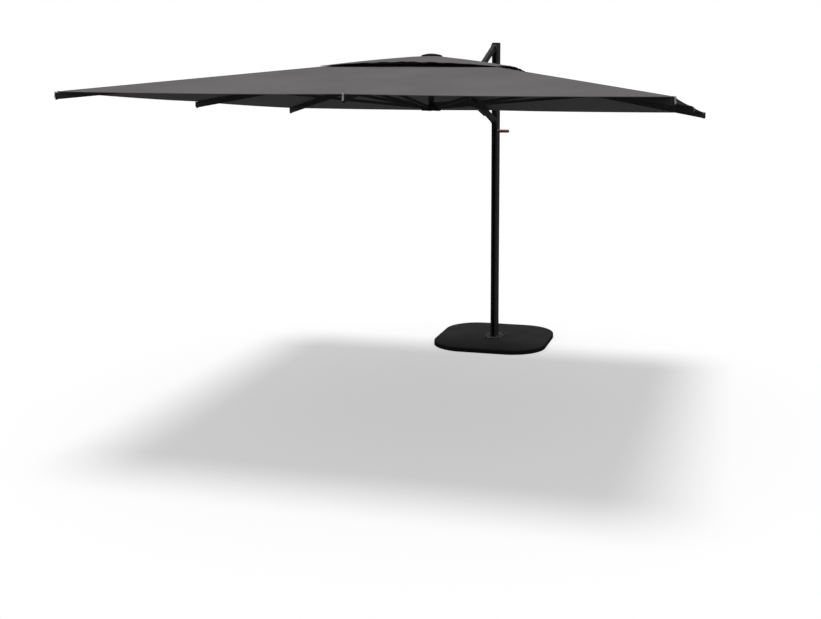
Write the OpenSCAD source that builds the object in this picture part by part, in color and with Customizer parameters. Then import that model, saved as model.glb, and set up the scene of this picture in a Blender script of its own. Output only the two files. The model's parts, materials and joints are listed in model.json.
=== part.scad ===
// Side-post parasol with a square two-tier canopy and a ballast base.
// Millimetres, +Z up, origin on the floor at the middle of the base slab, under the mast.
// The canopy stands out from the mast towards -Y. Its own frame (u, v, w) has w along the
// centre post and is leaned so that the edge by the mast is the lower one.

/* [Base] */
// Side of the square ballast slab
base_side = 972; // [800:1:1200]
// Corner radius of the slab
base_corner_r = 296; // [120:1:380]
// Thickness of the slab
base_t = 38; // [30:1:80]
// Rounding of the slab's top edge
base_edge_r = 8; // [3:1:12]
// Width of the anchor plate under the mast
plate_w = 160; // [130:1:220]
// Depth of the anchor plate
plate_d = 240; // [200:1:300]
// Thickness of the anchor plate
plate_t = 6; // [5:1:12]
// Radius of an anchor bolt
bolt_r = 6; // [4:0.5:8]

/* [Mast] */
// Top of the mast head above the floor
mast_top = 2578; // [2400:1:2900]
// Width of the mast extrusion
mast_w = 50; // [44:1:64]
// Depth of the mast extrusion
mast_d = 120; // [110:1:150]
// Wall of the mast extrusion
mast_wall = 3; // [2:0.5:4]
// Outer corner radius of the extrusion
mast_r = 8; // [5:0.5:12]
// Width of the groove down the front face
groove_w = 20; // [16:0.5:24]

/* [Linkage] */
// Height of the head pivot
head_z = 2538; // [2360:1:2860]
// Height of the carriage pivot with the canopy open
carriage_z = 1931; // [1700:1:2100]
// Distance of both mast pivots in front of the mast axis
pivot_out = 90; // [86:1:130]
// Distance of the elbow in front of the mast axis
elbow_out = 975; // [800:1:1100]
// Radius of the main pivot pins
pin_r = 6; // [5:0.5:8]
// Width of the arm tube
arm_w = 30; // [26:1:40]
// Height of the arm tube
arm_h = 48; // [40:1:60]
// Rise of the arm where it leaves the carriage, in degrees
arm_rise = 16; // [13:0.5:18]
// Straight length of the arm at the carriage
arm_straight = 218; // [150:1:300]
// Height of the upper strut
strut_h = 46; // [36:1:46]
// Thickness of a clevis cheek
cheek_t = 5; // [4:0.5:6]

/* [Handle] */
// Drop of the handle below the carriage pivot
handle_drop = 92; // [86:1:130]
// Radius of the grip
grip_r = 13.5; // [10:0.5:16]
// Length of the grip
grip_l = 96; // [80:1:150]

/* [Canopy] */
// Side of the square canopy
canopy_side = 3500; // [2800:1:4000]
// Height of the main canopy's peak over its edge
canopy_rise = 320; // [260:1:420]
// Lean of the canopy, in degrees
canopy_tilt = 3.87; // [0:0.01:8]
// Distance of the hub in front of the mast axis
hub_out = 2047; // [1900:1:2400]
// Height of the canopy's edge plane at the hub
hub_z = 2143; // [2050:1:2300]
// Half side of the vent hole in the main canopy
vent_hole = 430; // [350:1:500]
// Half side of the vent flap
vent_half = 585; // [520:1:700]
// Height of the vent flap's hem over the edge plane
vent_hem = 238; // [228:1:270]
// Thickness of the cloth solids
cloth_t = 2; // [1:0.5:4]

/* [Ribs and struts] */
// Width of a rib
rib_w = 16; // [14:0.5:20]
// Height of a rib
rib_h = 40; // [30:1:44]
// Width of a canopy strut
stay_w = 14; // [13:0.5:18]
// Height of a canopy strut
stay_h = 19; // [16:1:22]
// Radius of the rib and strut pins
rib_pin_r = 3; // [2.5:0.5:4]
// Travel of the lower hub when the canopy closes
hub_travel = 1720; // [1500:1:1900]
// Fall of the four middle ribs when the canopy closes, in degrees
rib_fall = 74; // [60:1:78]
// Sideways offset of the far rib, which passes beside the arm
far_side = 32; // [31:0.5:36]

/* [Hubs] */
// Radius of the centre post
post_r = 19.5; // [16:0.5:22]
// Radius of the lower hub
lower_hub_r = 78; // [72:1:90]
// Radius of the top hub
top_hub_r = 60; // [56:1:70]
// Radius of the finial cap
finial_r = 72; // [50:1:90]

/* [Hidden] */
$fn = 64;
fit_gap = 0.5;              // each side of a tube in its clevis
bore_gap = 0.05;            // radial clearance of a running pin
slide_gap = 0.4;            // each side of the carriage in the mast
cloth_gap = 1.7;            // between the cloth and the ribs
plug_gap = 0.1;             // between a spigot and the tube it plugs
cap_t = 10;                 // plate of the mast head
plug_h = 26;                // depth of the plugs in the mast ends
cheek_r = 25;               // radius of a cheek round its pivot
bush_wall = 2;
bush_r = pin_r + bush_wall;
arm_wall = 2.5;
strut_w = arm_w - 2 * fit_gap;
cheek_in = arm_w / 2 + fit_gap;
cheek_out = cheek_in + cheek_t + 1;
mast_foot = base_t + plate_t;
mast_end = mast_top - cap_t;
front = mast_d / 2;
web_y = 2 * mast_wall - 2;  // back face of the web between channel and chamber
channel_x = mast_w / 2 - mast_wall;
channel_back = web_y - 2 * mast_wall + 3;

// The two links are equal, so the carriage pivot stays on the head pivot's plumb line
elbow_z = (head_z + carriage_z) / 2;

// Canopy frame: the hub pivot and the end of the arm
foot_v = 50;
foot_w = -14;
hub_p = hub_out - foot_v * cos(canopy_tilt) - foot_w * sin(canopy_tilt);
hub_q = hub_z - foot_v * sin(canopy_tilt) + foot_w * cos(canopy_tilt);

// Arm centre line: straight, one arc, straight, and it ends on the hub pivot
arm_end_rise = 1;
run_p = hub_p - pivot_out - arm_straight * cos(arm_rise);
run_q = hub_q - carriage_z - arm_straight * sin(arm_rise);
bend_p = sin(arm_rise) - sin(arm_end_rise);
bend_q = cos(arm_end_rise) - cos(arm_rise);
bend_det = bend_p * sin(arm_end_rise) - bend_q * cos(arm_end_rise);
arm_bend_r = (run_p * sin(arm_end_rise) - run_q * cos(arm_end_rise)) / bend_det;
arm_tail = (bend_p * run_q - bend_q * run_p) / bend_det;
bend_start = [pivot_out + arm_straight * cos(arm_rise), carriage_z + arm_straight * sin(arm_rise)];
bend_centre = bend_start + arm_bend_r * [sin(arm_rise), -cos(arm_rise)];
elbow_turn = asin((bend_centre[0] - elbow_out) / arm_bend_r);
elbow_arm_z = bend_centre[1] + arm_bend_r * cos(elbow_turn);

// Ribs: number k stands at 45 k degrees, the odd ones run to the corners, number 2 is the far one
far = 2;
far_out = 36;
rib_gap = 0.5;
tongue_t = 8;
root_r = 45;
stay_r = 50;
stay_w0 = -26;
bar_start = 40;
under_cloth = cloth_t + cloth_gap + rib_h / 2 * 1.02;
root_w = main_w(root_r + far_out) - under_cloth;
tip_w = -under_cloth;
bracket_lead = 2.2;         // the bracket pivot hangs this many degrees under the rib line
function out_of(k) = k == far ? far_out : 0;
function side_of(k) = k == far ? far_side : 0;
function rib_reach(k) = (k % 2 == 1 ? sqrt(2) : 1) * canopy_side / 2;
function rib_pitch(k) = atan2(root_w - tip_w, rib_reach(k) - root_r - out_of(k));
function rib_len(k) = (rib_reach(k) - root_r - out_of(k)) / cos(rib_pitch(k));
// Distance of the bracket pivot, chosen so that the strut is the same length open and closed
hub_drop = root_w - stay_w0;
function square_len(x, y) = x * x + y * y;
function dot_line(a, x, y) = cos(a) * x - sin(a) * y;
closed_pitch = rib_pitch(0) + bracket_lead + rib_fall;
function bracket_at(k) =
    (square_len(root_r - stay_r, hub_drop + hub_travel) - square_len(root_r - stay_r, hub_drop))
    / 2 / (dot_line(rib_pitch(k) + bracket_lead, root_r - stay_r, hub_drop)
           - dot_line(closed_pitch, root_r - stay_r, hub_drop + hub_travel));
function bracket_x(k) = root_r + bracket_at(k) * cos(rib_pitch(k) + bracket_lead);
function bracket_z(k) = root_w - bracket_at(k) * sin(rib_pitch(k) + bracket_lead);
function stay_len(k) = norm([bracket_x(k) - stay_r, bracket_z(k) - stay_w0]);
function stay_pitch(k) = atan2(bracket_z(k) - stay_w0, bracket_x(k) - stay_r);

// Cloth
function main_w(s) = canopy_rise * (1 - 2 * s / canopy_side);
vent_top = canopy_rise + 1;
vent_neck = 40;
slit_v = hub_out - elbow_out;
slit_half = 26;
slit_len = 160;
arm_clear = 1;
// Top of the arm at a distance out from the mast, and underside of the cloth at v
function arm_top(p) = arm_h / 2 + (p > bend_start[0]
    ? bend_centre[1] + sqrt(max(0, pow(arm_bend_r, 2) - pow(p - bend_centre[0], 2)))
    : carriage_z + (p - pivot_out) * tan(arm_rise));
function cloth_under(v) =
    hub_z - v * sin(canopy_tilt) + (main_w(v) - 2 * cloth_t) * cos(canopy_tilt);
// Every place where the arm comes up to the cloth lies in the slit
arm_meets = [for (v = [vent_hole : 5 : canopy_side / 2])
    if (arm_top(hub_out - v * cos(canopy_tilt)) + arm_clear > cloth_under(v)) v];
slit_from = min(concat([slit_v - slit_len / 2], arm_meets));
slit_to = max(concat([slit_v + slit_len / 2], arm_meets));

// ---- shared shapes ----

// Side view: x runs out from the mast axis, y is height, z is across
module side() rotate([90, 0, -90]) children();

module across(r, l) translate([0, 0, -l / 2]) cylinder(r = r, h = l);

module both_sides() {
    children();
    mirror([0, 0, 1]) children();
}

module rounded(w, d, r) {
    square([w - 2 * r, d], center = true);
    square([w, d - 2 * r], center = true);
    for (x = [-1, 1], y = [-1, 1])
        translate([x * (w / 2 - r), y * (d / 2 - r)]) circle(r);
}

module in_canopy() translate([0, -hub_out, hub_z]) rotate([-canopy_tilt, 0, 0]) children();

module at_rib(k) in_canopy() rotate([0, 0, 45 * k]) translate([0, side_of(k), 0]) children();

module at_root(k)
    at_rib(k) translate([root_r + out_of(k), 0, root_w]) rotate([0, rib_pitch(k), 0]) children();

module at_stay(k)
    at_rib(k) translate([stay_r + out_of(k), 0, stay_w0]) rotate([0, -stay_pitch(k), 0]) children();

module along_y(r, l) rotate([90, 0, 0]) across(r, l);

module bar(l, w, h) translate([0, -w / 2, -h / 2]) cube([l, w, h]);

// ---- base ----

module slab_edge() {
    square([base_corner_r - base_edge_r, base_t]);
    square([base_corner_r, base_t - base_edge_r]);
    translate([base_corner_r - base_edge_r, base_t - base_edge_r]) circle(base_edge_r);
}

module bolt_places()
    for (x = [-1, 1], y = [-1, 1])
        translate([x * (plate_w / 2 - 22), y * (plate_d / 2 - 22), 0]) children();

module base_slab() color("#1f1f20") difference() {
    flat = base_side - 2 * base_corner_r;
    union() {
        for (a = [0 : 90 : 270]) rotate([0, 0, a]) {
            translate([flat / 2, flat / 2, 0]) rotate_extrude(angle = 90) slab_edge();
            translate([flat / 2, flat / 2, 0]) rotate([90, 0, 0]) linear_extrude(flat) slab_edge();
        }
        translate([-flat / 2, -flat / 2, 0]) cube([flat, flat, base_t]);
    }
    bolt_places() translate([0, 0, base_t - 26]) cylinder(r = bolt_r, h = 27);
}

module anchor_plate() color("#2b2b2c") difference() {
    translate([0, 0, base_t]) linear_extrude(plate_t) rounded(plate_w, plate_d, 18);
    bolt_places() translate([0, 0, base_t - 1]) cylinder(r = bolt_r + 0.5, h = plate_t + 2);
}

module anchor_bolts() color("#3a3a3b") bolt_places() {
    translate([0, 0, base_t - 25]) cylinder(r = bolt_r, h = 25 + plate_t);
    translate([0, 0, mast_foot]) cylinder(r = 11, h = 1.5);
    translate([0, 0, mast_foot + 1.5]) cylinder(r = 10, h = 6, $fn = 6);
}

module chamber_plug(z, h) {
    y0 = web_y + slide_gap;
    y1 = front - mast_wall - slide_gap;
    translate([-channel_x + slide_gap, y0, z]) cube([2 * (channel_x - slide_gap), y1 - y0, h]);
}

screw_y = (web_y + front - mast_wall) / 2;
module side_screws(heights)
    for (z = heights, s = [-1, 1])
        translate([s * mast_w / 2, screw_y, z]) rotate([0, s * 90, 0]) {
            translate([0, 0, -mast_wall - 12]) cylinder(r = 4, h = mast_wall + 12);
            cylinder(r = 7, h = 3);
        }

module screw_bores(heights, r)
    for (z = heights) translate([0, screw_y, z]) rotate([0, 90, 0]) across(r, mast_w + 2);

foot_screw_z = [mast_foot + 30, mast_foot + 90];
module foot_spigot() color("#555557") difference() {
    chamber_plug(mast_foot, 120);
    screw_bores(foot_screw_z, 4);
}

module foot_screws() color("#444446") side_screws(foot_screw_z);

// ---- mast and head ----

module channel_section(gap) {
    y0 = -front + mast_wall + gap;
    y1 = channel_back - 2 * gap;
    translate([-channel_x + gap, y0]) square([2 * (channel_x - gap), y1 - y0]);
}

head_screw_z = [mast_end - 13];
module mast() color("#262627") difference() {
    translate([0, 0, mast_foot]) linear_extrude(mast_end - mast_foot) difference() {
        rounded(mast_w, mast_d, mast_r);
        channel_section(0);
        translate([-groove_w / 2, -front - 1]) square([groove_w, mast_wall + 2]);
        translate([-channel_x, web_y])
            square([2 * channel_x, front - mast_wall - web_y]);
    }
    screw_bores(foot_screw_z, 4);
    screw_bores(head_screw_z, 4);
}

module cheek_pair(p, q, inner, outer, r) both_sides() translate([0, 0, inner])
    linear_extrude(outer - inner) difference() {
        union() {
            translate([p, q]) circle(r);
            translate([front, q - r]) square([p - front, 2 * r]);
        }
        translate([p, q]) circle(pin_r);
    }

module mast_head() color("#2a2a2b") {
    translate([0, 0, mast_end]) linear_extrude(cap_t) rounded(mast_w, mast_d, mast_r);
    difference() {
        chamber_plug(mast_end - plug_h, plug_h);
        screw_bores(head_screw_z, 4);
    }
    translate([0, 0, mast_end - plug_h]) linear_extrude(plug_h) channel_section(slide_gap);
    translate([-cheek_out, -front - 6, head_z - 45]) cube([2 * cheek_out, 6, mast_top - head_z + 45]);
    side() cheek_pair(pivot_out, head_z, cheek_in, cheek_out, cheek_r);
}

module head_screws() color("#444446") side_screws(head_screw_z);

module clevis_pin(p, q, outer) side() translate([p, q, 0]) {
    across(pin_r, 2 * outer);
    both_sides() translate([0, 0, outer]) cylinder(r = pin_r + 4, h = 3);
}

module head_pin() color("#8a8a8c") clevis_pin(pivot_out, head_z, cheek_out);

// ---- upper strut, arm and elbow ----

strut_run = [elbow_out - pivot_out, elbow_z - head_z];
module upper_strut() color("#29292a") side() translate([pivot_out, head_z, 0])
    rotate([0, 0, atan2(strut_run[1], strut_run[0])]) difference() {
        l = norm(strut_run);
        union() {
            translate([0, -strut_h / 2, -strut_w / 2]) cube([l, strut_h, strut_w]);
            for (x = [0, l]) translate([x, 0, 0]) across(strut_h / 2 + 1, strut_w);
        }
        for (x = [0, l]) translate([x, 0, 0]) across(bush_r, strut_w + 1);
        translate([50, 2 - strut_h / 2, 2 - strut_w / 2]) cube([l - 100, strut_h - 4, strut_w - 4]);
    }

module bush(p, q, l) side() translate([p, q, 0]) difference() {
    across(bush_r, l);
    across(pin_r + bore_gap, l + 1);
}

module strut_bushes() color("#101011") {
    bush(pivot_out, head_z, strut_w);
    bush(elbow_out, elbow_z, strut_w);
}

// Bent tube with a straight sleeve let into each end, which is a little slimmer and laps
// into the tube. The ends of the sleeves are cut short by the given length.
arm_lap = 12;
sleeve_step = 0.3;
module arm_body(h, w, trim) {
    hs = h - 2 * sleeve_step;
    ws = w - 2 * sleeve_step;
    translate([pivot_out, carriage_z, 0]) rotate([0, 0, arm_rise])
        translate([trim, -hs / 2, -ws / 2]) cube([arm_straight + arm_lap - trim, hs, ws]);
    translate([bend_centre[0], bend_centre[1], 0]) rotate([0, 0, 90 + arm_end_rise])
        rotate_extrude(angle = arm_rise - arm_end_rise, $fn = 360)
            translate([arm_bend_r - h / 2, -w / 2]) square([h, w]);
    translate([hub_p, hub_q, 0]) rotate([0, 0, arm_end_rise])
        translate([-arm_tail - arm_lap, -hs / 2, -ws / 2]) cube([arm_tail + arm_lap - trim, hs, ws]);
}

module arm() color("#242425") side() difference() {
    union() {
        arm_body(arm_h, arm_w, 0);
        translate([pivot_out, carriage_z, 0]) across(arm_h / 2, arm_w);
        translate([hub_p, hub_q, 0]) across(arm_h / 2, arm_w);
    }
    arm_body(arm_h - 2 * arm_wall, arm_w - 2 * arm_wall, 70);
    translate([pivot_out, carriage_z, 0]) across(bush_r, arm_w + 1);
    translate([hub_p, hub_q, 0]) across(bush_r, arm_w + 1);
}

module arm_bushes() color("#101011") {
    bush(pivot_out, carriage_z, arm_w);
    bush(hub_p, hub_q, arm_w);
}

elbow_r = 18;
module elbow_bracket() color("#2d2d2e") side() both_sides() translate([0, 0, arm_w / 2])
    linear_extrude(cheek_t) difference() {
        union() {
            translate([elbow_out, elbow_z]) circle(elbow_r);
            polygon([[elbow_out - 60, elbow_arm_z - 10], [elbow_out + 60, elbow_arm_z - 10],
                [elbow_out + elbow_r, elbow_z], [elbow_out - elbow_r, elbow_z]]);
        }
        translate([elbow_out, elbow_z]) circle(pin_r);
    }

module elbow_pin() color("#8a8a8c") clevis_pin(elbow_out, elbow_z, arm_w / 2 + cheek_t);

// ---- carriage and handle ----

carriage_up = 60;
carriage_down = 205;
face_gap = 1;
face_t = 5;
face_w = 22;
glide_t = 1.6;
handle_z = carriage_z - handle_drop;
shaft_r = 6;
shaft_l = 50;
module carriage() color("#1d1d1e") {
    y1 = channel_back - 2 * slide_gap;
    y0 = -front + mast_wall + slide_gap;
    x1 = channel_x - slide_gap - glide_t;
    h = carriage_up + carriage_down;
    difference() {
        union() {
            translate([-x1, y0, carriage_z - carriage_down]) cube([2 * x1, y1 - y0, h]);
            translate([-groove_w / 2 + fit_gap, -front - face_gap - face_t, carriage_z - carriage_down])
                cube([groove_w - 2 * fit_gap, face_gap + face_t + mast_wall + slide_gap, h]);
            translate([-face_w / 2, -front - face_gap - face_t, carriage_z - carriage_down])
                cube([face_w, face_t, h]);
            translate([-cheek_out, -front - face_gap - face_t, carriage_z - 40])
                cube([2 * cheek_out, face_t, 40 + carriage_up]);
            side() difference() {
                cheek_pair(pivot_out, carriage_z, cheek_in, cheek_out, cheek_r);
                translate([front - 1, carriage_z - 50, -40]) cube([1 + face_gap, 100, 80]);
            }
        }
        translate([0, -front - 10, handle_z]) rotate([-90, 0, 0])
            cylinder(r = shaft_r + bore_gap, h = shaft_l + 12);
    }
}

module carriage_glides() color("#e8e6e0") {
    x1 = channel_x - slide_gap;
    for (s = [-1, 1], z = [carriage_z - carriage_down, carriage_z + carriage_up - 50])
        translate([s > 0 ? x1 - glide_t : -x1, -front + mast_wall + 8, z]) cube([glide_t, 36, 50]);
}

module carriage_pin() color("#8a8a8c") clevis_pin(pivot_out, carriage_z, cheek_out);

boss_r = 17;
boss_y = -front - face_gap - face_t - fit_gap;
boss_l = 24;
grip_y = boss_y - boss_l / 2;
rod_r = 5;
grip_x = 34;
module handle_lever() color("#202021") {
    translate([0, boss_y, handle_z]) rotate([90, 0, 0]) cylinder(r = boss_r, h = boss_l);
    translate([0, boss_y + shaft_l, handle_z]) rotate([90, 0, 0]) cylinder(r = shaft_r, h = shaft_l);
    translate([0, grip_y, handle_z]) rotate([0, 90, 0]) {
        cylinder(r = 9, h = grip_x);
        cylinder(r = rod_r, h = grip_x + grip_l);
    }
}

module handle_grip() color("#6b4a38") translate([grip_x, grip_y, handle_z]) rotate([0, 90, 0])
    rotate_extrude() difference() {
        union() {
            square([grip_r, grip_l - 4]);
            square([grip_r - 4, grip_l]);
            translate([grip_r - 4, grip_l - 4]) circle(4);
        }
        translate([-1, -1]) square([rod_r + 1, grip_l + 2]);
    }

module handle_nut() color("#3a3a3b") translate([grip_x + grip_l, grip_y, handle_z]) rotate([0, 90, 0])
    cylinder(r = 7, h = 4);

// ---- centre post and hubs ----

foot_top = -8;
foot_bottom = -46;
foot_r = 24;
post_wall = 2;
top_hub_w = [root_w - 31, root_w + 12];
module centre_post() color("#2a2a2b") in_canopy() translate([0, 0, foot_top]) difference() {
    cylinder(r = post_r, h = top_hub_w[0] - foot_top);
    translate([0, 0, -1]) cylinder(r = post_r - post_wall, h = top_hub_w[0] - foot_top + 2);
}

cheek_from = sqrt(max(100, pow(post_r + 1, 2) - pow(cheek_in, 2)));
module post_foot() color("#1d1d1e") in_canopy() {
    translate([0, 0, foot_bottom]) cylinder(r = foot_r, h = foot_top - foot_bottom);
    translate([0, 0, foot_top]) cylinder(r = post_r - post_wall - plug_gap, h = 30);
    translate([0, foot_v, foot_w]) rotate([0, 90, 0]) both_sides() translate([0, 0, cheek_in])
        difference() {
            union() {
                cylinder(r = 16, h = cheek_t);
                translate([-16, cheek_from - foot_v, 0]) cube([32, foot_v - cheek_from, cheek_t]);
            }
            translate([0, 0, -1]) cylinder(r = pin_r, h = cheek_t + 2);
        }
}

module hub_pin() color("#8a8a8c") in_canopy() translate([0, foot_v, foot_w]) rotate([0, 90, 0])
    across(pin_r, 2 * (cheek_in + cheek_t));

hub_slot = tongue_t + 2 * rib_gap;

// Lug that carries the far rib or its strut beside the arm
module far_lug(from, pivot, h)
    translate([-far_side - 10, from, 0]) cube([20, pivot + far_out + 12 - from, h]);

module top_hub() color("#1d1d1e") {
    difference() {
        in_canopy() translate([0, 0, top_hub_w[0]]) {
            cylinder(r = top_hub_r, h = top_hub_w[1] - top_hub_w[0]);
            far_lug(20, root_r, top_hub_w[1] - top_hub_w[0]);
        }
        for (k = [0 : 7]) at_rib(k) {
            translate([root_r + out_of(k) - 13, -hub_slot / 2, top_hub_w[0] - 1])
                cube([80, hub_slot, top_hub_w[1] - top_hub_w[0] + 2]);
            translate([root_r + out_of(k), 0, root_w]) along_y(rib_pin_r, 16);
        }
    }
    in_canopy() translate([0, 0, top_hub_w[0] - 30])
        cylinder(r = post_r - post_wall - plug_gap, h = 30);
    in_canopy() translate([0, 0, top_hub_w[1]]) cylinder(r = 28, h = vent_top - top_hub_w[1]);
}

module top_hub_pins() color("#8a8a8c")
    for (k = [0 : 7]) at_rib(k) translate([root_r + out_of(k), 0, root_w]) along_y(rib_pin_r, 16);

module finial_cap() color("#1b1b1c") in_canopy() translate([0, 0, vent_top]) rotate_extrude() {
    dome_h = 13;
    dome_r = (finial_r * finial_r + dome_h * dome_h) / 2 / dome_h;
    square([finial_r, 5]);
    intersection() {
        translate([0, 5 + dome_h - dome_r]) circle(dome_r, $fn = 180);
        translate([0, 4]) square([finial_r, dome_h + 2]);
    }
}

ring_w = [-48, -12];
ring_in = 27;
dish_h = 32;                 // the hub narrows downwards like a dish
dish_in = 14;
module lower_hub() color("#232324") difference() {
    in_canopy() union() {
        translate([0, 0, ring_w[0]]) cylinder(r1 = lower_hub_r - dish_in, r2 = lower_hub_r, h = dish_h);
        translate([0, 0, ring_w[0] + dish_h]) cylinder(r = lower_hub_r, h = ring_w[1] - ring_w[0] - dish_h);
        translate([0, 0, ring_w[0]]) far_lug(34, stay_r, ring_w[1] - ring_w[0]);
    }
    in_canopy() {
        translate([0, 0, ring_w[0] - 1]) cylinder(r = ring_in, h = 60);
        translate([-cheek_in - cheek_t - 1.5, 0, ring_w[0] - 1])
            cube([2 * (cheek_in + cheek_t + 1.5), 100, 60]);
    }
    for (k = [0 : 7]) at_rib(k)
        translate([stay_r + out_of(k) - 9, -4.5, ring_w[0] - 1]) cube([80, 9, 60]);
}

// ---- ribs, caps and struts ----

module rib(k) color("#2c2c2d") at_root(k) {
    s = bracket_at(k) * cos(bracket_lead);
    drop = bracket_at(k) * sin(bracket_lead);
    difference() {
        union() {
            translate([bar_start, 0, 0]) bar(rib_len(k) - bar_start, rib_w, rib_h);
            bar(bar_start + 12, tongue_t, 22);
            along_y(12, tongue_t);
            translate([s - 14, -tongue_t / 2, -drop]) cube([28, tongue_t, drop - rib_h / 2 + 1]);
            translate([s, 0, -drop]) along_y(9, tongue_t);
        }
        along_y(rib_pin_r + bore_gap, 20);
        translate([s, 0, -drop]) along_y(rib_pin_r + bore_gap, 20);
        translate([bar_start + 30, 0, 0]) bar(rib_len(k), rib_w - 3, rib_h - 3);
    }
}

cap_up = 1;
cap_down = 44;
tip_t = 8;
module cap(k) color("#39393a") at_root(k) translate([rib_len(k), 0, 0]) {
    translate([1, -rib_w / 2 - 1, rib_h / 2 + cap_up - cap_down]) cube([tip_t, rib_w + 2, cap_down]);
    translate([-24, 0, 0]) bar(26, rib_w - 3, rib_h - 3);
}

module stay(k) color("#303031") at_stay(k) {
    l = stay_len(k);
    difference() {
        union() {
            bar(38, 7, 15);
            along_y(8, 7);
            along_y(4, 8.6);
            translate([30, 0, 0]) bar(l - 30, stay_w, stay_h);
            translate([l, 0, 0]) along_y(stay_h / 2 + 1, stay_w);
        }
        translate([l - 24, -tongue_t / 2 - 0.3, -stay_h]) cube([60, tongue_t + 0.6, 2 * stay_h]);
        translate([l, 0, 0]) along_y(rib_pin_r, 20);
        translate([60, 0, 0]) bar(l - 110, stay_w - 3, stay_h - 3);
    }
    translate([l, 0, 0]) along_y(rib_pin_r, stay_w);
}

// ---- cloth ----

// Square pyramid shell between two rings at the given half sides and heights
module tent(s0, w0, s1, w1, t) {
    ring = [[1, 1], [-1, 1], [-1, -1], [1, -1]];
    points = [for (p = [[s0, w0], [s1, w1], [s1, w1 - t], [s0, w0 - t]], c = ring)
        [c[0] * p[0], c[1] * p[0], p[1]]];
    faces = [for (j = [0 : 3], i = [0 : 3])
        [4 * j + i, 4 * ((j + 1) % 4) + i, 4 * ((j + 1) % 4) + (i + 1) % 4, 4 * j + (i + 1) % 4]];
    polyhedron(points, faces);
}

module canopy_main() color("#706e6f") in_canopy() difference() {
    tent(canopy_side / 2, main_w(canopy_side / 2), vent_hole, main_w(vent_hole), cloth_t);
    translate([-slit_half, slit_from, -10]) cube([2 * slit_half, slit_to - slit_from, 410]);
}

module canopy_vent() color("#6f6d6d") in_canopy()
    tent(vent_half, vent_hem, vent_neck, vent_top - fit_gap, cloth_t);

base_slab();
anchor_plate();
anchor_bolts();
foot_spigot();
foot_screws();
mast();
mast_head();
head_screws();
head_pin();
upper_strut();
strut_bushes();
arm();
elbow_bracket();
elbow_pin();
arm_bushes();
carriage();
carriage_glides();
carriage_pin();
handle_lever();
handle_grip();
handle_nut();
centre_post();
post_foot();
hub_pin();
top_hub();
top_hub_pins();
finial_cap();
lower_hub();
canopy_main();
canopy_vent();
rib(0);  // rib_right
rib(1);  // rib_far_right
rib(2);  // rib_far
rib(3);  // rib_far_left
rib(4);  // rib_left
rib(5);  // rib_near_left
rib(6);  // rib_near
rib(7);  // rib_near_right
cap(0);  // cap_right
cap(1);  // cap_far_right
cap(2);  // cap_far
cap(3);  // cap_far_left
cap(4);  // cap_left
cap(5);  // cap_near_left
cap(6);  // cap_near
cap(7);  // cap_near_right
stay(0);  // stay_right
stay(1);  // stay_far_right
stay(2);  // stay_far
stay(3);  // stay_far_left
stay(4);  // stay_left
stay(5);  // stay_near_left
stay(6);  // stay_near
stay(7);  // stay_near_right
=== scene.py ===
import json
from math import atan2, cos, pi, radians, sin, sqrt
import bmesh
import bpy
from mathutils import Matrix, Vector


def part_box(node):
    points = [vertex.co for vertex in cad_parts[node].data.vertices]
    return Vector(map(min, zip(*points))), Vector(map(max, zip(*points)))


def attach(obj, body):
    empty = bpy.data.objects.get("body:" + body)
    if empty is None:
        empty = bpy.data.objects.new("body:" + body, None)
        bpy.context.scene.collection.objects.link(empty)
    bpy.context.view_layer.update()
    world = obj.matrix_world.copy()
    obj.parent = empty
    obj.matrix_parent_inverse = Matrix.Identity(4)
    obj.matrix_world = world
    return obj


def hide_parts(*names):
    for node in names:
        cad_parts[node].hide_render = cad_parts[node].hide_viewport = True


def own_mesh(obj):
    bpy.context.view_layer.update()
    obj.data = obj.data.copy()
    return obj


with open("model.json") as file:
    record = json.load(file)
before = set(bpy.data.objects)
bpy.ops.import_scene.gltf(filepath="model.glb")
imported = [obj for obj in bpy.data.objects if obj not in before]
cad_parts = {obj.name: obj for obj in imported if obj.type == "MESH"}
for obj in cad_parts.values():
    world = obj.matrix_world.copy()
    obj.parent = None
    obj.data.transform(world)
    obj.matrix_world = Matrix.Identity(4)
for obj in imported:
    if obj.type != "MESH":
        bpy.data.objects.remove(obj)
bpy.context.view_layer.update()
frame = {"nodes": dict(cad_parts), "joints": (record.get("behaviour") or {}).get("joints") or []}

mm = 0.001

# ---- Ballast slab ----
# A square slab with round corners, cast in a black plastic skin with a fine leather-like
# grain. It lies on the paving and its weight alone holds the parasol up.


def linear(hex_colour):
    """An sRGB colour such as #2b2b2c as the linear RGBA that a shader socket takes."""
    parts = [int(hex_colour[i:i + 2], 16) / 255 for i in (1, 3, 5)]
    return [p / 12.92 if p <= 0.04045 else ((p + 0.055) / 1.055) ** 2.4 for p in parts] + [1.0]


def add(tree, kind, inputs=(), **settings):
    """Adds a node, sets its properties, then sets or links its inputs by name or number."""
    made = tree.nodes.new(kind)
    for name, value in settings.items():
        setattr(made, name, value)
    for name, value in dict(inputs).items():
        if isinstance(value, bpy.types.NodeSocket):
            tree.links.new(value, made.inputs[name])
        else:
            made.inputs[name].default_value = value
    return made


def new_finish(name, roughness, **constants):
    """A material whose constants sit on its shader, with its node tree and its shader."""
    material = bpy.data.materials.new(name)
    material.use_nodes = True
    shader = material.node_tree.nodes["Principled BSDF"]
    shader.inputs["Roughness"].default_value = roughness
    for socket, value in constants.items():
        shader.inputs[socket.replace("_", " ")].default_value = value
    return material, material.node_tree, shader


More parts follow.
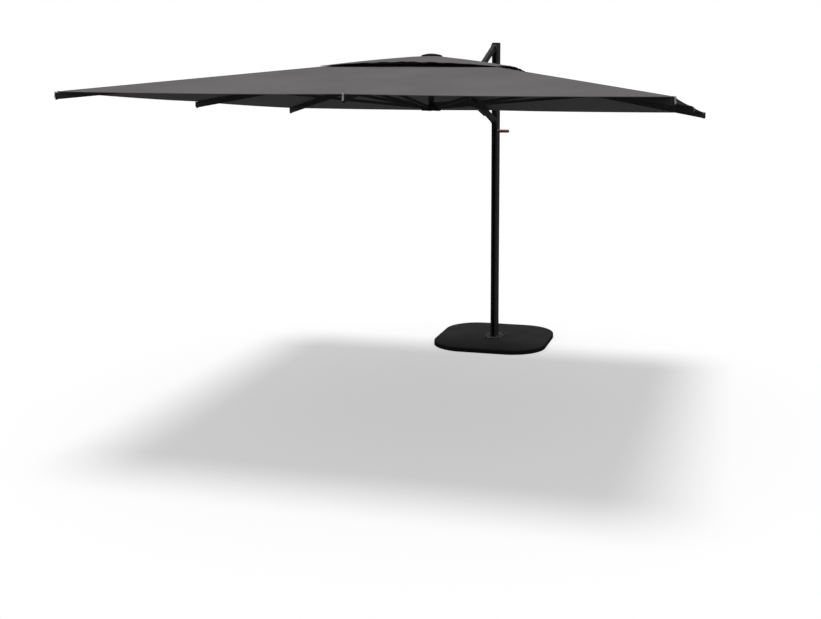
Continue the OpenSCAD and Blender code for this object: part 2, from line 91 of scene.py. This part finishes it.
def two_tone(tree, shader, where, dark, light, size, detail=4):
    """Colours the shader between two tones in soft patches of the given size in metres."""
    patches = add(tree, "ShaderNodeTexNoise", {"Vector": where, "Scale": 1 / size,
                                               "Detail": detail})
    ramp = add(tree, "ShaderNodeValToRGB", {"Fac": patches.outputs["Fac"]})
    for stop, position, tone in zip(ramp.color_ramp.elements, (0.36, 0.64), (dark, light)):
        stop.position, stop.color = position, linear(tone)
    tree.links.new(ramp.outputs["Color"], shader.inputs["Base Color"])
    return patches


def raised(tree, shader, height, depth, strength):
    """Turns a height from 0 to 1 into a relief of the given depth in metres."""
    bump = add(tree, "ShaderNodeBump", {"Height": height, "Distance": depth, "Strength": strength})
    tree.links.new(bump.outputs["Normal"], shader.inputs["Normal"])


def object_place(tree):
    return add(tree, "ShaderNodeTexCoord").outputs["Object"]


def varied(tree, shader, value, low, high):
    """Roughness that wanders between two limits with a texture value."""
    spread = add(tree, "ShaderNodeMapRange", {"Value": value, "From Min": 0.3, "From Max": 0.7,
                                              "To Min": low, "To Max": high})
    tree.links.new(spread.outputs["Result"], shader.inputs["Roughness"])


def dress(material, *names):
    for name in names:
        for slot in frame["nodes"][name].material_slots:
            slot.material = material


slab_skin, tree, shader = new_finish("slab_moulded_skin", 0.6, Specular_IOR_Level=0.2)
place = object_place(tree)
patches = two_tone(tree, shader, place, "#161617", "#1b1b1d", 160 * mm)
varied(tree, shader, patches.outputs["Fac"], 0.52, 0.7)
cells = add(tree, "ShaderNodeTexVoronoi", {"Vector": place, "Scale": 1 / (1.8 * mm)})
raised(tree, shader, cells.outputs["Distance"], 0.25 * mm, 0.5)
dress(slab_skin, "base_slab")

# ---- Mast, anchor plate, strut, arm and ribs ----
# Aluminium extrusions and steel plates in a charcoal powder coat, which has a faint orange
# peel. The mast stands on a bolted plate and has an open groove down its front face.


def coated(name, dark, light, roughness):
    """Powder coat: a fine orange peel and tiny changes of gloss."""
    material, tree, shader = new_finish(name, roughness, Specular_IOR_Level=0.3)
    place = object_place(tree)
    patches = two_tone(tree, shader, place, dark, light, 90 * mm)
    varied(tree, shader, patches.outputs["Fac"], roughness - 0.06, roughness + 0.06)
    peel = add(tree, "ShaderNodeTexNoise", {"Vector": place, "Scale": 1 / (1.1 * mm), "Detail": 2})
    raised(tree, shader, peel.outputs["Fac"], 0.06 * mm, 0.35)
    return material


SIDES = ["right", "far_right", "far", "far_left", "left", "near_left", "near", "near_right"]
frame_coat = coated("charcoal_powder_coat", "#2a2a2b", "#303032", 0.45)
dress(frame_coat, "anchor_plate", "mast", "mast_head", "upper_strut", "arm", "elbow_bracket",
      "centre_post", "foot_spigot", *("rib_" + s for s in SIDES), *("stay_" + s for s in SIDES))

# ---- Bolts, screws and pins ----
# Zinc-plated steel with the fine turning lines of a lathe, dulled by the weather.
plated, tree, shader = new_finish("zinc_plated_steel", 0.34, Metallic=0.9)
place = object_place(tree)
patches = two_tone(tree, shader, place, "#6a6a6c", "#7c7c7e", 12 * mm)
varied(tree, shader, patches.outputs["Fac"], 0.28, 0.42)
lines = add(tree, "ShaderNodeTexNoise", {"Vector": place, "Scale": 1 / (0.5 * mm), "Detail": 3})
raised(tree, shader, lines.outputs["Fac"], 0.03 * mm, 0.3)
blackened = coated("black_zinc_screws", "#1d1d1e", "#262627", 0.38)
dress(plated, "head_pin", "elbow_pin", "carriage_pin", "hub_pin", "top_hub_pins")
dress(blackened, "anchor_bolts", "foot_screws", "head_screws", "handle_nut")

# ---- Moulded parts: carriage, hubs, post foot, finial, rib caps, bushes ----
# Glass-filled nylon, nearly black, with a spark-eroded texture from the mould. They are
# pushed on, pinned or screwed to the metal parts. The finial cap closes the vent's neck.


def moulded(name, dark, light, roughness):
    """Nylon moulding: matt, with a fine even grain."""
    material, tree, shader = new_finish(name, roughness, Specular_IOR_Level=0.3)
    place = object_place(tree)
    patches = two_tone(tree, shader, place, dark, light, 50 * mm)
    varied(tree, shader, patches.outputs["Fac"], roughness - 0.08, roughness + 0.08)
    grain = add(tree, "ShaderNodeTexNoise", {"Vector": place, "Scale": 1 / (0.6 * mm), "Detail": 3})
    raised(tree, shader, grain.outputs["Fac"], 0.08 * mm, 0.5)
    return material


nylon = moulded("black_nylon", "#111112", "#161617", 0.5)
cap_nylon = moulded("rib_cap_nylon", "#1d1d1e", "#262627", 0.55)
acetal = moulded("natural_acetal", "#cfcabd", "#dedacd", 0.4)
dress(nylon, "carriage", "handle_lever", "post_foot", "top_hub", "finial_cap", "lower_hub",
      "strut_bushes", "arm_bushes")
dress(cap_nylon, *("cap_" + s for s in SIDES))
dress(acetal, "carriage_glides")

# ---- Handle grip ----
# A turned sleeve with a brown wood look on the crank's rod, with the grain along it.
grip_wood, tree, shader = new_finish("brown_wood_grip", 0.45, Coat_Weight=0.15)
place = object_place(tree)
along = add(tree, "ShaderNodeMapping", {"Vector": place, "Scale": (6.0, 60.0, 60.0)})
streaks = add(tree, "ShaderNodeTexNoise", {"Vector": along.outputs["Vector"], "Scale": 4.0,
                                           "Detail": 6, "Distortion": 0.6})
ramp = add(tree, "ShaderNodeValToRGB", {"Fac": streaks.outputs["Fac"]})
ramp.color_ramp.elements[0].position, ramp.color_ramp.elements[0].color = 0.34, linear("#4c2e1f")
ramp.color_ramp.elements[1].position, ramp.color_ramp.elements[1].color = 0.66, linear("#855a41")
tree.links.new(ramp.outputs["Color"], shader.inputs["Base Color"])
raised(tree, shader, streaks.outputs["Fac"], 0.15 * mm, 0.4)
dress(grip_wood, "handle_grip")

# ---- Canopy cloth ----
# One square of woven polyester, sewn from four triangles and stretched over eight ribs, with
# a doubled hem and a slight sag between the ribs. It is built as eight fields that meet
# without a gap, and each moves with its own rib.
joints = {j["name"]: j for j in frame["joints"]}


def hinge_of(rib):
    return Vector(joints["rib_" + SIDES[rib] + "_hinge"]["pos_m"])


# The canopy's own frame: u to the right, v towards the mast, w up along the centre post
axis_u = Vector((1, 0, 0))
axis_w = -Vector(joints["lower_hub_slide"]["axis"]).normalized()
axis_v = axis_w.cross(axis_u)
peak = 320 * mm
root_height = 281.09 * mm
hub = (hinge_of(0) + hinge_of(4)) / 2 - axis_w * root_height
half_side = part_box("canopy_main")[1].x
vent_hole = 430 * mm
half_fan = sin(radians(22.5)) / cos(radians(22.5))
cloth_t = 0.9 * mm
hem_wide, hem_t = 28 * mm, 0.8 * mm
slit_half, slit_len = 26 * mm, 160 * mm
slit_mid = (Vector(joints["elbow"]["pos_m"]) - hub).dot(axis_v)


def canopy_point(u, v, w):
    return hub + axis_u * u + axis_v * v + axis_w * w


def quarter_turn(rib, u, v):
    """Turns a point of the right-hand side, or of the corner after it, to its own rib's side."""
    for _ in range(rib // 2):
        u, v = -v, u
    return u, v


def field_uv(rib, s, across):
    """A point of a rib's field on the square ring s; across is its distance along that ring
    from the rib, positive anticlockwise."""
    if rib % 2 == 0:
        return quarter_turn(rib, s, across)
    return quarter_turn(rib, s, s + across) if across < 0 else quarter_turn(rib, s - across, s)


def ring_reach(rib, s):
    """How far a field runs each way from its rib on the ring s."""
    return s * (half_fan if rib % 2 == 0 else 1 - half_fan)


def main_height(s, share):
    """Cloth height: a straight pyramid, less the sag between the ribs."""
    sag = 5 * mm * (s / half_side) ** 1.3
    return peak * (1 - s / half_side) - sag * (1 - (1 - abs(share)) ** 2)


def cloth_field(name, rib, rows, columns, height, hem_from, hole=None, strip=None, lift=0.0):
    """A closed thin shell over one rib's field, with a thicker hem, and a slit if hole gives
    its two ends. A strip gives a middle and a half width across the rib instead of the whole
    field, and lift raises it off the cloth. The UV map is in metres along the threads."""
    mesh = bpy.data.meshes.new(name)
    work = bmesh.new()
    uv = work.loops.layers.uv.new("cloth")
    top, under, thread = [], [], {}
    for s in rows:
        reach = ring_reach(rib, s)
        line, below = [], []
        for j in range(-columns, columns + 1):
            across = reach * j / columns
            if strip:
                across = strip[0] + strip[1] * j / columns
            if hole:
                step = (abs(j) - 1) / (columns - 1)
                wide = 0.0 if j == 0 else slit_half + (reach - slit_half) * step
                across = wide if j > 0 else -wide
            u, v = field_uv(rib, s, across)
            along = across
            if rib % 2:
                along = s + across if across <= 0 else s - across
            w = height(s, across / reach) + lift
            extra = hem_t if s > hem_from else 0.0
            for row, level in ((line, w + extra), (below, w - cloth_t - extra)):
                vert = work.verts.new(canopy_point(u, v, level))
                thread[vert] = (along, s)
                row.append(vert)
        top.append(line)
        under.append(below)
    edges = {}
    lower = {}
    for i in range(len(rows) - 1):
        for j in range(2 * columns):
            if hole and hole[0] - mm < rows[i] < hole[1] - mm and j in (columns - 1, columns):
                continue
            loop = [top[i][j], top[i + 1][j], top[i + 1][j + 1], top[i][j + 1]]
            base = [under[i][j], under[i + 1][j], under[i + 1][j + 1], under[i][j + 1]]
            work.faces.new(loop)
            work.faces.new(base[::-1])
            lower.update(zip(loop, base))
            for a, b in zip(loop, loop[1:] + loop[:1]):
                if (b, a) in edges:
                    del edges[(b, a)]
                else:
                    edges[(a, b)] = True
    for a, b in edges:
        work.faces.new((a, lower[a], lower[b], b))
    bmesh.ops.delete(work, geom=[v for v in work.verts if not v.link_faces], context="VERTS")
    for face in work.faces:
        face.smooth = True
        for corner in face.loops:
            corner[uv].uv = thread[corner.vert]
    work.to_mesh(mesh)
    work.free()
    mesh.set_sharp_from_angle(angle=radians(11))
    piece = bpy.data.objects.new(name, mesh)
    bpy.context.collection.objects.link(piece)
    return piece


def gather_on(piece, rib):
    """The piece moves with its rib."""
    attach(piece, "rib_" + SIDES[rib])
    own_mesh(piece)


def declare_field(rib, inner, outer, slope):
    """Works out the flat cut and area of one field, and keeps neither."""
    if rib % 2 == 0:
        flat = (2 * half_fan * outer, (outer - inner) / slope)
        area = half_fan * (outer ** 2 - inner ** 2) / slope
    else:
        flat = (2 * (1 - half_fan) * outer / sqrt(2), (outer - inner) * sqrt(2) / slope)
        area = (1 - half_fan) * (outer ** 2 - inner ** 2) / slope
    area = min(area, flat[0] * flat[1])


def woven(name, dark, light, thread):
    """Solution-dyed polyester: plain weave with slubs along both threads and soft fading."""
    material, tree, shader = new_finish(name, 0.92, Specular_IOR_Level=0.08)
    place = add(tree, "ShaderNodeTexCoord").outputs["UV"]
    two_tone(tree, shader, place, dark, light, 550 * mm, detail=5)
    slub_long, slub_wide = 60 * mm, 1.6 * mm
    slubs = []
    for scale in ((1 / slub_long, 1 / slub_wide, 1), (1 / slub_wide, 1 / slub_long, 1)):
        drawn = add(tree, "ShaderNodeMapping", {"Vector": place, "Scale": scale})
        slubs.append(add(tree, "ShaderNodeTexNoise", {"Vector": drawn.outputs["Vector"],
                                                      "Scale": 1.0, "Detail": 2}).outputs["Fac"])
    both = add(tree, "ShaderNodeMath", {0: slubs[0], 1: slubs[1]}, operation="ADD")
    tint = add(tree, "ShaderNodeMapRange", {"Value": both.outputs["Value"], "From Min": 0.6,
                                            "From Max": 1.4, "To Min": 0.9, "To Max": 1.1})
    faded = shader.inputs["Base Color"].links[0].from_socket
    shade = add(tree, "ShaderNodeVectorMath", {0: faded, 1: tint.outputs["Result"]},
                operation="MULTIPLY")
    tree.links.new(shade.outputs["Vector"], shader.inputs["Base Color"])
    split = add(tree, "ShaderNodeSeparateXYZ", {"Vector": place})
    rows = []
    for side in ("X", "Y"):
        turns = add(tree, "ShaderNodeMath", {0: split.outputs[side], 1: 2 * pi / thread},
                    operation="MULTIPLY")
        rows.append(add(tree, "ShaderNodeMath", {0: turns.outputs["Value"]}, operation="SINE"))
    weave = add(tree, "ShaderNodeMath", {0: rows[0].outputs["Value"], 1: rows[1].outputs["Value"]},
                operation="MULTIPLY")
    raised(tree, shader, weave.outputs["Value"], 0.12 * mm, 0.35)
    return material


cloth = woven("woven_grey_polyester", "#555354", "#5b595a", 1.1 * mm)

# Thread for the seams: bonded polyester, two shades lighter than the cloth
thread_grey, tree, shader = new_finish("seam_thread", 0.7)
place = object_place(tree)
two_tone(tree, shader, place, "#6b696a", "#7b797a", 4 * mm)


def stitch_tree():
    """Geometry Nodes: lays stitches end to end along every edge path of a mesh."""
    tree = bpy.data.node_groups.new("lockstitch", "GeometryNodeTree")
    face = tree.interface
    face.new_socket("Geometry", in_out="INPUT", socket_type="NodeSocketGeometry")
    for label, value in (("Pitch", 9 * mm), ("Stitch length", 6.5 * mm),
                         ("Thread radius", 0.7 * mm)):
        face.new_socket(label, in_out="INPUT", socket_type="NodeSocketFloat").default_value = value
    face.new_socket("Thread", in_out="INPUT", socket_type="NodeSocketMaterial")
    face.new_socket("Geometry", in_out="OUTPUT", socket_type="NodeSocketGeometry")
    given = add(tree, "NodeGroupInput")
    curve = add(tree, "GeometryNodeMeshToCurve", {0: given.outputs["Geometry"]})
    points = add(tree, "GeometryNodeCurveToPoints",
                 {0: curve.outputs[0], "Length": given.outputs["Pitch"]}, mode="LENGTH")
    stitch = add(tree, "GeometryNodeMeshCylinder",
                 {"Vertices": 6, "Radius": given.outputs["Thread radius"],
                  "Depth": given.outputs["Stitch length"]})
    laid = add(tree, "FunctionNodeAlignRotationToVector", {"Vector": points.outputs["Tangent"]},
               axis="Z")
    placed = add(tree, "GeometryNodeInstanceOnPoints", {"Points": points.outputs[0],
                                                        "Instance": stitch.outputs["Mesh"],
                                                        "Rotation": laid.outputs[0]})
    real = add(tree, "GeometryNodeRealizeInstances", {0: placed.outputs[0]})
    dyed = add(tree, "GeometryNodeSetMaterial",
               {0: real.outputs[0], "Material": given.outputs["Thread"]})
    result = add(tree, "NodeGroupOutput")
    tree.links.new(dyed.outputs[0], result.inputs[0])
    return tree


lockstitch = stitch_tree()


def sewn(name, paths):
    """Stitches along each path of points, as one plain mesh."""
    mesh = bpy.data.meshes.new(name)
    points, edges = [], []
    for path in paths:
        start = len(points)
        points += path
        edges += [(start + i, start + i + 1) for i in range(len(path) - 1)]
    mesh.from_pydata(points, edges, [])
    guide = bpy.data.objects.new(name, mesh)
    bpy.context.collection.objects.link(guide)
    layer = guide.modifiers.new("lockstitch", "NODES")
    layer.node_group = lockstitch
    for item in lockstitch.interface.items_tree:
        if item.in_out == "INPUT" and item.name == "Thread":
            layer[item.identifier] = thread_grey
    graph = bpy.context.evaluated_depsgraph_get()
    plain = bpy.data.meshes.new_from_object(guide.evaluated_get(graph))
    guide.modifiers.clear()
    guide.data = plain
    return guide


def seam_paths(rib, height, inner, outer, middle, lift, gap=9 * mm):
    """Two rows of stitches, one each side of a rib's seam."""
    paths = []
    for side in (-1, 1):
        path = []
        for i in range(60):
            s = inner + (outer - inner) * i / 59
            across = middle + side * gap / 2
            u, v = field_uv(rib, s, across)
            path.append(canopy_point(u, v, height(s, across / ring_reach(rib, s)) + lift))
        paths.append(path)
    return paths


def hem_path(rib, height, s, lift, steps=48):
    """One row of stitches along a hem."""
    reach = ring_reach(rib, s)
    path = []
    for i in range(steps + 1):
        across = reach * (2 * i / steps - 1)
        u, v = field_uv(rib, s, across)
        path.append(canopy_point(u, v, height(s, across / reach) + lift))
    return path


slope = cos(atan2(peak, half_side))
slit = (slit_mid - slit_len / 2, slit_mid + slit_len / 2)
far_side = -hinge_of(2).x
even_rows = [vent_hole + (half_side - hem_wide - vent_hole) * i / 44 for i in range(45)]
hem_rows = [half_side - hem_wide + mm, half_side - 0.5 * hem_wide, half_side - 1.5 * mm, half_side]
seam_half, narrow_seam, seam_t = 8 * mm, 5 * mm, 1.0 * mm
no_hem = 9.0                # further out than any ring of a field
stitch_lift = 0.3 * mm
for rib in range(8):
    rows, hole = even_rows + hem_rows, None
    if SIDES[rib] == "far":
        spare = [s for s in even_rows if min(abs(s - slit[0]), abs(s - slit[1])) > 12 * mm]
        rows, hole = sorted(spare + list(slit)) + hem_rows, slit
    field = cloth_field("canopy_field_" + SIDES[rib], rib, rows, 12, main_height,
                        half_side - hem_wide + 0.5 * mm, hole)
    field.data.materials.append(cloth)
    # A flat tape along the rib, and two rows of stitches along the hem
    middle = far_side if SIDES[rib] == "far" else 0.0
    half = narrow_seam if SIDES[rib] == "far" else seam_half
    # At a corner the tape covers the seam on top; over a middle rib it lies under the cloth
    lift = seam_t if rib % 2 else -cloth_t
    seam = cloth_field("canopy_seam_" + SIDES[rib], rib, even_rows, 2, main_height, no_hem,
                       strip=(middle, half), lift=lift)
    seam.data.materials.append(cloth)
    rows_of_thread = []
    if rib % 2:
        rows_of_thread = seam_paths(rib, main_height, vent_hole + 5 * mm, half_side - hem_wide,
                                    middle, seam_t + stitch_lift, gap=half * 1.1)
    for inset in (5 * mm, hem_wide - 6 * mm):
        rows_of_thread.append(hem_path(rib, main_height, half_side - inset, hem_t + stitch_lift))
    stitches = sewn("canopy_stitches_" + SIDES[rib], rows_of_thread)
    declare_field(rib, vent_hole, half_side, slope)
    for piece in (field, seam, stitches):
        gather_on(piece, rib)
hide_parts("canopy_main")

# ---- Slit binding ----
# The elbow bracket comes up through a slit in the far side, which is bound with a flat tape.
# It moves with the cloth round it.
tape_w, tape_t = 14 * mm, 1.2 * mm


def slit_loop(grow, lift, steps=10):
    """Points round the slit, that much outside its edge, on the cloth."""
    half, low, high = slit_half + grow, slit[0] - grow, slit[1] + grow
    corners = [(-half, low), (half, low), (half, high), (-half, high)]
    points = []
    for (u0, v0), (u1, v1) in zip(corners, corners[1:] + corners[:1]):
        for i in range(steps):
            u, v = u0 + (u1 - u0) * i / steps, v0 + (v1 - v0) * i / steps
            points.append(canopy_point(u, v, main_height(v, abs(u) / ring_reach(2, v)) + lift))
    return points


loops = [slit_loop(-mm, tape_t), slit_loop(tape_w, tape_t), slit_loop(tape_w, 0.1 * mm),
         slit_loop(-mm, -cloth_t - mm)]
count = len(loops[0])
tape_mesh = bpy.data.meshes.new("slit_binding")
quads = [(a * count + i, b * count + i, b * count + (i + 1) % count, a * count + (i + 1) % count)
         for a, b in ((0, 1), (1, 2), (2, 3), (3, 0)) for i in range(count)]
tape_mesh.from_pydata([p for loop in loops for p in loop], [], quads)
tape = bpy.data.objects.new("slit_binding", tape_mesh)
bpy.context.collection.objects.link(tape)
webbing, tree, shader = new_finish("binding_tape", 0.8, Sheen_Weight=0.1)
place = object_place(tree)
two_tone(tree, shader, place, "#3a393a", "#444344", 20 * mm)
ridge_t = 0.9 * mm
ridge = add(tree, "ShaderNodeTexWave", {"Vector": place, "Scale": 1 / (2 * pi * ridge_t) * 2},
            bands_direction="DIAGONAL")
raised(tree, shader, ridge.outputs["Fac"], 0.2 * mm, 0.4)
tape_mesh.materials.append(webbing)
gather_on(tape, 2)

# ---- Vent flap ----
# A smaller square of the same cloth that lets the wind out. It is clamped under the finial
# cap, runs down over the ribs and is tacked at its corners, with its hem arched between them.
vent_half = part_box("canopy_vent")[1].x
vent_neck = 40 * mm
vent_corner, vent_arch = 219 * mm, 27 * mm
vent_hem_wide = 22 * mm


def vent_height(s, share, rib):
    """From the neck to a hem that arches and puckers between the corners."""
    along = abs(share) * half_fan if rib % 2 == 0 else 1 - abs(share) * (1 - half_fan)
    out = (s - vent_neck) / (vent_half - vent_neck)
    hem = vent_corner + vent_arch * (1 - along ** 2)
    pucker = 2.5 * mm * out ** 2 * sin(9 * pi * along) * (1 - along)
    return (peak + 0.5 * mm) * (1 - out) + hem * out + pucker + 5 * mm * sin(pi * out)


vent_rows = [vent_neck + (vent_half - vent_hem_wide - vent_neck) * i / 22 for i in range(23)]
vent_rows += [vent_half - vent_hem_wide + mm, vent_half - 11 * mm, vent_half - 1.5 * mm, vent_half]
for rib in range(8):
    def flap(s, share):
        return vent_height(s, share, rib)

    field = cloth_field("vent_field_" + SIDES[rib], rib, vent_rows, 12, flap,
                        vent_half - vent_hem_wide + 0.5 * mm)
    field.data.materials.append(cloth)
    vent_thread = [hem_path(rib, flap, vent_half - inset, hem_t + stitch_lift, 32)
                   for inset in (5 * mm, vent_hem_wide - 5 * mm)]
    if rib % 2:
        vent_thread += seam_paths(rib, flap, 0.1, vent_half - vent_hem_wide, 0.0, 0.4 * mm)
    stitches = sewn("vent_stitches_" + SIDES[rib], vent_thread)
    declare_field(rib, vent_neck, vent_half, slope)
    for piece in (field, stitches):
        gather_on(piece, rib)
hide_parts("canopy_vent")

# ---- Pull straps ----
# A short tape of light grey webbing is sewn to the hem over each rib end, wraps the end cap
# and hangs below it as a tail, to pull the hem tight over the cap.
strap_w, strap_t = 11 * mm, 1.6 * mm
pale_tape, tree, shader = new_finish("light_grey_webbing", 0.75, Sheen_Weight=0.1)
place = object_place(tree)
two_tone(tree, shader, place, "#83827f", "#979693", 10 * mm)
ridge = add(tree, "ShaderNodeTexNoise", {"Vector": place, "Scale": 1 / (0.9 * mm), "Detail": 1})
raised(tree, shader, ridge.outputs["Fac"], 0.25 * mm, 0.6)
for rib in range(8):
    turn = radians(45 * rib)
    outward = axis_u * cos(turn) + axis_v * sin(turn)
    sideways = axis_v * cos(turn) - axis_u * sin(turn)
    reach = half_side * (sqrt(2) if rib % 2 else 1)
    centre = hub + sideways * (far_side if SIDES[rib] == "far" else 0.0)
    # The strap's own line, as distance from the hub and height over the edge plane
    line = [(reach - 24 * mm, 2.6 * mm), (reach - 4 * mm, 2.8 * mm), (reach + 8 * mm, 2.4 * mm)]
    line += [(reach + (8 + 3.4 * sin(a)) * mm, (-1 + 3.4 * cos(a)) * mm) for a in (0.4, 0.8, 1.2)]
    for out, down in ((11.6, 6), (11.6, 14), (12.2, 22), (14, 30), (13, 38)):
        line.append((reach + out * mm, -down * mm))
    mesh = bpy.data.meshes.new("pull_strap_" + SIDES[rib])
    work = bmesh.new()
    rows = []
    for i, (r, w) in enumerate(line):
        before, after = line[max(i - 1, 0)], line[min(i + 1, len(line) - 1)]
        along = Vector((after[0] - before[0], after[1] - before[1])).normalized()
        rows.append([])
        for side, out in ((-1, 1), (1, 1), (1, -1), (-1, -1)):
            r2, w2 = r - along.y * out * strap_t / 2, w + along.x * out * strap_t / 2
            corner = centre + outward * r2 + sideways * side * strap_w / 2 + axis_w * w2
            rows[-1].append(work.verts.new(corner))
    for a, b in zip(rows, rows[1:]):
        for i in range(4):
            work.faces.new((a[i], b[i], b[(i + 1) % 4], a[(i + 1) % 4]))
    work.faces.new(rows[0])
    work.faces.new(rows[-1][::-1])
    bmesh.ops.recalc_face_normals(work, faces=work.faces)
    work.to_mesh(mesh)
    work.free()
    mesh.materials.append(pale_tape)
    strap = bpy.data.objects.new("pull_strap_" + SIDES[rib], mesh)
    bpy.context.collection.objects.link(strap)
    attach(strap, "rib_" + SIDES[rib])

# ---- Floor, light and camera ----
# A wide pale floor that runs into the white background, a high soft lamp straight above, and
# the camera at standing height in front of the canopy.
floor_mesh = bpy.data.meshes.new("floor")
work = bmesh.new()
bmesh.ops.create_grid(work, x_segments=1, y_segments=1, size=90)
work.to_mesh(floor_mesh)
work.free()
floor = bpy.data.objects.new("floor", floor_mesh)
bpy.context.collection.objects.link(floor)
pale, tree, shader = new_finish("pale_floor", 0.9, Specular_IOR_Level=0.0)
shader.inputs["Base Color"].default_value = (0.38, 0.38, 0.38, 1)
shader.inputs["Emission Color"].default_value = (1, 1, 1, 1)
shader.inputs["Emission Strength"].default_value = 0.435
ray = add(tree, "ShaderNodeLightPath")
level = add(tree, "ShaderNodeMapRange", {"Value": ray.outputs["Is Glossy Ray"], "To Min": 0.25,
                                         "To Max": 0.05})
dim = add(tree, "ShaderNodeBsdfDiffuse", {"Color": level.outputs["Result"]})
bounce = add(tree, "ShaderNodeMixShader", {0: ray.outputs["Is Camera Ray"],
                                           1: dim.outputs["BSDF"], 2: shader.outputs["BSDF"]})
# Seen from below the floor is clear, so that the underside of the canopy can be looked at
clear = add(tree, "ShaderNodeBsdfTransparent")
side = add(tree, "ShaderNodeNewGeometry")
one_sided = add(tree, "ShaderNodeMixShader", {0: side.outputs["Backfacing"],
                                              1: bounce.outputs["Shader"], 2: clear.outputs["BSDF"]})
tree.links.new(one_sided.outputs["Shader"], tree.nodes["Material Output"].inputs["Surface"])
floor_mesh.materials.append(pale)

sky = bpy.data.worlds.new("studio")
bpy.context.scene.world = sky
sky.use_nodes = True
tree = sky.node_tree
path = add(tree, "ShaderNodeLightPath")
# Mirror-like rays meet a darker room, so that dark parts keep their depth at flat angles
room = add(tree, "ShaderNodeMapRange", {"Value": path.outputs["Is Glossy Ray"], "To Min": 0.6,
                                        "To Max": 0.12})
tree.links.new(room.outputs["Result"], tree.nodes["Background"].inputs["Strength"])
tree.nodes["Background"].inputs["Color"].default_value = (1, 1, 1, 1)
seen = add(tree, "ShaderNodeBackground", {"Color": (1, 1, 1, 1), "Strength": 1.0})
mix = add(tree, "ShaderNodeMixShader", {0: path.outputs["Is Camera Ray"],
                                        1: tree.nodes["Background"].outputs["Background"],
                                        2: seen.outputs["Background"]})
tree.links.new(mix.outputs["Shader"], tree.nodes["World Output"].inputs["Surface"])

lamp = bpy.data.objects.new("overhead_lamp", bpy.data.lights.new("overhead_lamp", "SUN"))
lamp.data.energy = 3.0
lamp.data.angle = radians(19)
bpy.context.collection.objects.link(lamp)

camera = bpy.data.objects.new("camera", bpy.data.cameras.new("camera"))
camera.data.lens = 50.99
camera.data.sensor_width = 36
camera.data.shift_x, camera.data.shift_y = -0.0484, -0.08
camera.data.clip_end = 500
camera.location = (2.1557, -9.7489, 2.455)
camera.rotation_euler = (radians(90) - 0.1589, 0, 0.2566)
bpy.context.collection.objects.link(camera)
bpy.context.scene.camera = camera
bpy.context.scene.view_settings.view_transform = "Standard"
